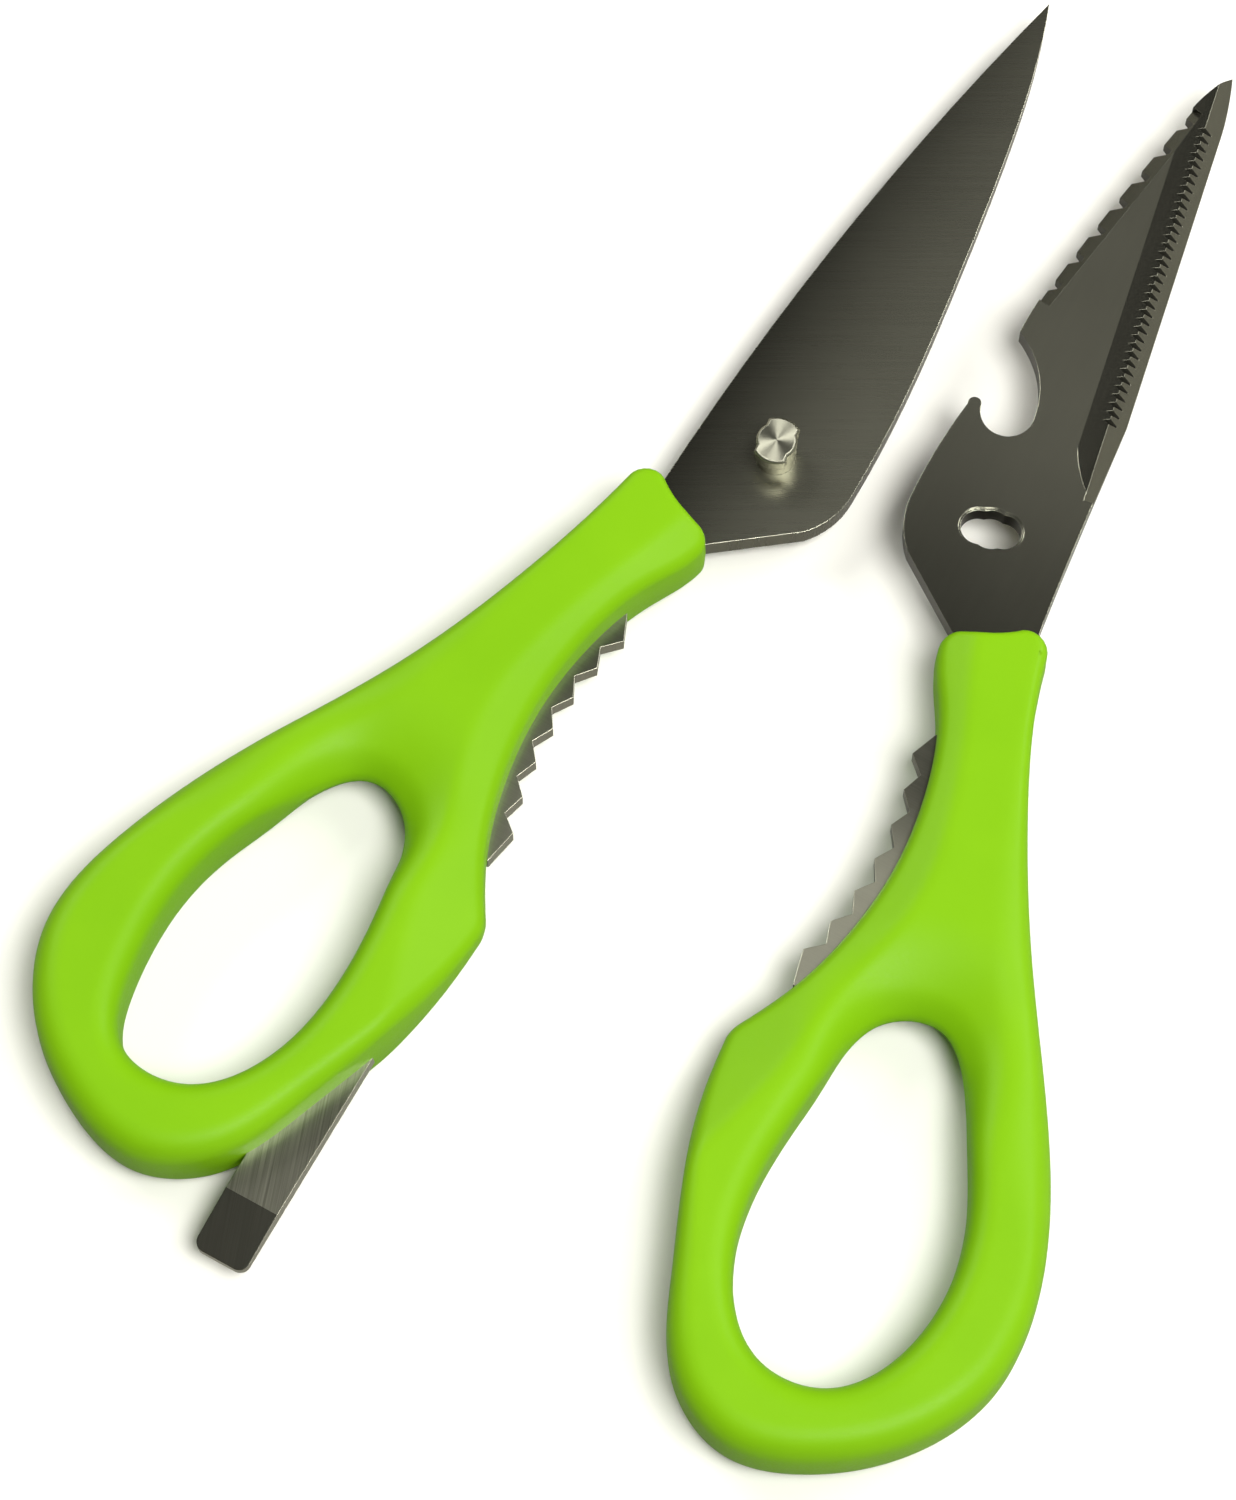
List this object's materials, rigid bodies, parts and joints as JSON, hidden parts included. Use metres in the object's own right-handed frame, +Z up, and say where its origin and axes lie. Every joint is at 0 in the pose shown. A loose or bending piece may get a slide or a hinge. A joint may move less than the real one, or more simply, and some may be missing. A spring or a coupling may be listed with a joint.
{
  "type": "take-apart kitchen shears",
  "caption": "Take-apart kitchen shears, the plain and the serrated half side by side, with keyed pivot, bottle opener, fish scaler, nutcracker jaws and lid lifter.",
  "frame": {"origin": "centre of the laid-out pair's bounding box, on the table", "axes": "+Y along the longer side of the layout, away from the finger loops and towards the blade tips; +Z up from the table"},
  "size_m": [0.1674, 0.218, 0.013],
  "materials": {
    "blade_steel": "satin-ground stainless steel",
    "turned_steel": "bright lathe-turned steel",
    "lime_plastic": "satin moulded plastic",
    "brushed_insert": "coarse brushed steel"
  },
  "bodies": {
    "plain_half": {"plain_blade": "blade_steel", "pivot_stud": "turned_steel", "plain_handle": "lime_plastic", "plain_nutcracker_jaw": "brushed_insert", "lid_lifter_tab": "brushed_insert"},
    "washer": {"stud_washer": "turned_steel"},
    "serrated_half": {"serrated_blade": "blade_steel", "serrated_handle": "lime_plastic", "serrated_nutcracker_jaw": "brushed_insert"}
  },
  "joints": [
    {"name": "pivot", "type": "hinge", "parent": "plain_half", "child": "washer", "pos_m": [0.01675, 0.03563, 0.0065], "axis": [0, 0, 1], "range_deg": [-2, 84]},
    {"name": "bring_together", "type": "slide", "parent": "washer", "child": "serrated_half", "axis": [-0.8445, 0.3583, 0.3981], "range_m": [0, 0.03517]}
  ]
}
